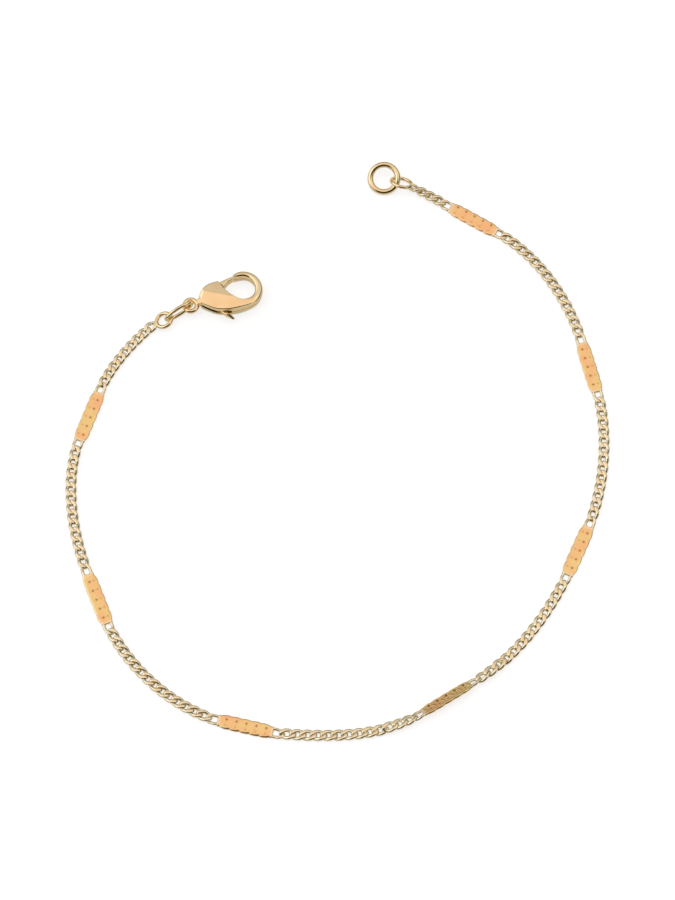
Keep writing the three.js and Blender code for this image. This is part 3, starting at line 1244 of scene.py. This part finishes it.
@dataclass
class Studio:
    """The pale floor, the camera and the soft light.

    Attributes:
        aim: the point on the floor that the camera looks at, in millimetres.
        distance: from that point to the camera, in millimetres.
        elevation: the camera's height above the horizon, in degrees.
        lens: focal length for a frame 24 mm high.
        floor_level: the floor's height, just under the bracelet, in millimetres.
        floor_reach: radii of the floor's innermost and outermost circle, in millimetres.
        sky: lobes that are summed: the open sky, lighter low down, right overhead and in front.
        shade: lobes of which the darkest counts: high and low in front where the camera stands, and the horizon.
        right: a darker stand on the right.
        left: a pale reflector on the left, added last.
        blush: where the sky is warmer, just behind the top.
        blush_colour: its hue, as sRGB hex.
        backdrop: how bright the sky looks to the camera itself.
        lamp: the floor lamp's width in metres, power in watts and height in metres.
    """

    aim: tuple[float, float] = (-0.093, -0.624)
    distance: float = 350.77
    elevation: float = 70.0
    lens: float = 80.0
    floor_level: float = -0.01
    floor_reach: tuple[float, float] = (20.0, 3000.0)
    sky: tuple[Lobe, ...] = (
        Lobe((0.0, 0.0, 1.0), (0.2, 0.6), (1.3, 0.74)),
        Lobe((0.0, 0.0, 1.0), (0.7, 0.92), (0.0, 0.32)),
        Lobe((0.0, -1.0, 0.0), (-0.25, 0.3), (0.0, 0.3)),
    )
    shade: tuple[Lobe, ...] = (
        Lobe((0.12, -0.68, 0.71), (0.74, 0.88), (1.0, 0.04)),
        Lobe((0.12, -0.94, 0.3), (0.6, 0.8), (1.0, 0.04)),
        Lobe((0.0, 0.0, 1.0), (0.22, 0.64), (0.08, 1.0)),
    )
    right: Lobe = Lobe((0.95, -0.1, 0.2), (0.82, 0.94), (1.0, 0.25))
    left: Lobe = Lobe((-0.9, 0.2, 0.3), (0.7, 0.95), (0.0, 0.6))
    blush: Lobe = Lobe((0.0, 0.3, 0.954), (0.8, 0.95), (0.0, 1.0))
    blush_colour: str = "#fde4d7"
    backdrop: float = 1.1
    lamp: tuple[float, float, float] = (1.6, 6.0, 1.2)

    def camera(self) -> None:
        """Sets up the camera: distance from the aim, elevation above the horizon, looking north and down."""
        data = bpy.data.cameras.new("camera")
        data.sensor_fit = "VERTICAL"
        data.sensor_height = 24.0
        data.lens = self.lens
        data.clip_start = 0.01
        data.clip_end = 20.0
        made = bpy.data.objects.new("camera", data)
        up = math.radians(self.elevation)
        back, height = self.distance * math.cos(up), self.distance * math.sin(up)
        made.location = (self.aim[0] * MM, (self.aim[1] - back) * MM, height * MM)
        made.rotation_euler = (math.pi / 2 - up, 0.0, 0.0)
        bpy.context.scene.collection.objects.link(made)
        bpy.context.scene.camera = made

    def floor(self) -> None:
        """Lays the floor: a wide flat disc of circles, each point r * (cos t, sin t)."""
        rings, spokes = 24, 48
        radius = np.geomspace(*self.floor_reach, rings)[:, None]
        t = np.linspace(0, 2 * np.pi, spokes, endpoint=False)
        level = np.full((rings, spokes), self.floor_level)
        disc = Shell.rod(np.stack([radius * np.cos(t), radius * np.sin(t), level], -1))
        made = Shell(disc.points, disc.quads, disc.caps[:1]).to_object("floor")
        made.data.materials.append(self.floor_panel())

    @staticmethod
    def floor_panel() -> bpy.types.Material:
        """The floor's material: white opal acrylic lit from below.

        It looks plain white, while what the metal reflects of it is dimmer and creamier, as a real table's top is.

        Returns:
            The node material.
        """
        panel = bpy.data.materials.new("white opal acrylic, lit from below")
        panel.use_nodes = True
        tree = panel.node_tree
        tree.nodes.clear()
        shaders = []
        for colour, glow, strength in (("#b5b1aa", "#fff4e4", 0.34), ("#aaaaaa", "#ffffff", 0.72)):
            card = add_node(tree, "ShaderNodeBsdfDiffuse", {"Color": linear(colour), "Roughness": 0.5})
            back = add_node(tree, "ShaderNodeEmission", {"Color": linear(glow), "Strength": strength})
            shaders.append(add_node(tree, "ShaderNodeAddShader", {}, {0: (card, 0), 1: (back, 0)}))
        reflected, seen = shaders
        ray = add_node(tree, "ShaderNodeLightPath")
        links = {0: (ray, "Is Camera Ray"), 1: (reflected, 0), 2: (seen, 0)}
        both = add_node(tree, "ShaderNodeMixShader", {}, links)
        add_node(tree, "ShaderNodeOutputMaterial", {}, {"Surface": (both, 0)})
        return panel

    def light(self) -> None:
        """Soft light from all round, open and pale above and to the left, dark where the camera stands.

        The sky is (sum of its lobes) * (least of the shades) * right + left. The floor gets a wide lamp of its own
        that leaves no highlight on the metal.
        """
        scene = bpy.context.scene
        scene.view_settings.view_transform = "Standard"
        world = bpy.data.worlds.new("studio")
        scene.world = world
        world.use_nodes = True
        tree = world.node_tree
        tree.nodes.clear()
        way = add_node(tree, "ShaderNodeTexCoord")
        sky = self.combined(tree, "ADD", [lobe.node(tree, way) for lobe in self.sky])
        shade = self.combined(tree, "MINIMUM", [lobe.node(tree, way) for lobe in self.shade])
        light = self.combined(tree, "MULTIPLY", [sky, shade, self.right.node(tree, way)])
        light = self.combined(tree, "ADD", [light, self.left.node(tree, way)])
        hues = {6: linear("#ffffff"), 7: linear(self.blush_colour)}
        hue = add_node(tree, "ShaderNodeMix", hues, {0: (self.blush.node(tree, way), 0)}, data_type="RGBA")
        glow = add_node(tree, "ShaderNodeBackground", {}, {"Color": (hue, 2), "Strength": (light, 0)})
        plain = add_node(tree, "ShaderNodeBackground", {"Color": linear("#ffffff"), "Strength": self.backdrop})
        ray = add_node(tree, "ShaderNodeLightPath")
        seen = add_node(tree, "ShaderNodeMixShader", {}, {0: (ray, "Is Camera Ray"), 1: (glow, 0), 2: (plain, 0)})
        add_node(tree, "ShaderNodeOutputWorld", {}, {"Surface": (seen, 0)})
        lamp = bpy.data.lights.new("floor_fill", "AREA")
        lamp.shape = "DISK"
        lamp.size, lamp.energy, height = self.lamp
        made = bpy.data.objects.new("floor_fill", lamp)
        made.location = (0.0, 0.0, height)
        made.visible_glossy = False
        scene.collection.objects.link(made)

    @staticmethod
    def combined(tree: bpy.types.NodeTree, operation: str, terms: list[bpy.types.Node]) -> bpy.types.Node:
        """The sum, product or least of several nodes' first outputs.

        Args:
            tree: the world's node tree.
            operation: ADD, MULTIPLY or MINIMUM.
            terms: the nodes.

        Returns:
            The last node.
        """
        whole, *others = terms
        for term in others:
            whole = add_node(tree, "ShaderNodeMath", {}, {0: (whole, 0), 1: (term, 0)}, operation=operation)
        return whole


# Rings and clasp, tumbled bright before they are plated: clear, warm reflections with slightly soft edges.
POLISHED = GoldPlate("gold-plated brass, polished", "#f8e5b8", "#f2dcac", 0.05, 0.025, 0.002, 0.8)
# Chain of drawn wire, as bright but paler: fine links read as a light line with crisp dark gaps.
DRAWN = GoldPlate("gold-plated brass, drawn wire", "#f4eacb", "#eee2bd", 0.05, 0.025, 0.002, 0.8)
# Stations from a press, satin: flats in yellow and peach patches, with painted shade, a darker brown tint, in the
# slits.
PRESSED = GoldPlate(
    "gold-plated brass, pressed", "#eeda9a", "#f3c694", 0.14, 0.04, 0.002, 0.6, wire="#f2e8c8", recess="#96662f"
)
STATIONS = (
    Station("bar_1", -30.9, 0.0, 0.45, 0.0, -2.5),
    Station("bar_2", -75.3, 0.0, -0.2, 0.7, -3.6),
    Station("bar_3", -114.2, 0.0, 0.2, 4.1, -3.0),
    Station("bar_4", -148.3, 40.0, -0.2, -0.3, -2.6),
    Station("bar_5", 167.1, 0.0, -0.3, 8.2, -6.1),
    Station("bar_6", 112.1, 0.0, 0.15, 5.8, -1.7),
    Station("bar_7", 70.1, 0.0, -0.2, 5.3, -3.0),
)
LINK_COUNTS = (4, 14, 13, 13, 13, 14, 13, 9)
RINGS = (
    Ring("end_ring", 4.0, 4.0, 0.7, 0.0, 18.0, 6.0),
    Ring("ring_link", 2.95, 2.6, 0.44, -15.0, -38.0, -3.0),
    Ring("jump_ring", 2.35, 2.35, 0.48, 0.0, -8.0, 18.5),
    Ring("clasp_link", 4.0, 2.0, 0.46, 31.8, 85.1, 8.7),
)
# Where the chain's end links hang, from the middles of their rings, and the way the chain runs there in degrees.
RING_END = (np.array([0.75, -0.2, -0.6]), -22.0)
CLASP_END = (np.array([-0.75, -0.02, -0.28]), 41.0)
# How far the chain lies over beside the end ring, in degrees.
RING_END_ROLL = -62.0


def stretches() -> list[Stretch]:
    """Works out each stretch's route from the pieces at its ends.

    Returns:
        The eight stretches in order from the end ring to the clasp.
    """
    first = (middle_of("ring_link") + RING_END[0], RING_END[1])
    last = (middle_of("jump_ring") + CLASP_END[0], CLASP_END[1])
    starts = [first, *((s.hole(Side.FRONT), s.heading + s.leave) for s in STATIONS)]
    ends = [*((s.hole(Side.BACK), s.heading + s.arrive) for s in STATIONS), last]
    leans = [RING_END_ROLL, *(s.lean for s in STATIONS), 0.0]
    made = []
    for i, count in enumerate(LINK_COUNTS):
        (start, leave), (end, meet) = starts[i], ends[i]
        made.append(Stretch(f"chain_{i + 1}", Route(start, end, leave, meet), count, (leans[i], leans[i + 1])))
    return made


def main() -> None:
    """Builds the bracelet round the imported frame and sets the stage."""
    logging.basicConfig(level=logging.INFO, format="%(name)s: %(message)s")
    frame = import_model()
    bodies = frame["record"]["behaviour"]["bodies"]
    body_of = {node: body for body, nodes in bodies.items() for node in nodes}
    polished, drawn, pressed = (finish.material() for finish in (POLISHED, DRAWN, PRESSED))
    built = [ring.build(polished, body_of[ring.name]) for ring in RINGS]
    built += [stretch.build(drawn, body_of[stretch.name]) for stretch in stretches()]
    built += [station.build(pressed, body_of[station.name]) for station in STATIONS]
    hinge = next(j for j in frame["joints"] if j["name"] == "gate_hinge")
    built += LobsterClasp().build(polished, body_of, np.array(hinge["pos_m"]) / MM)
    for piece in built:
        LOG.info("%s: %d faces", piece.name, len(piece.data.polygons))
    studio = Studio()
    studio.camera()
    studio.floor()
    studio.light()
    bpy.context.view_layer.update()


if __name__ == "__main__":
    main()
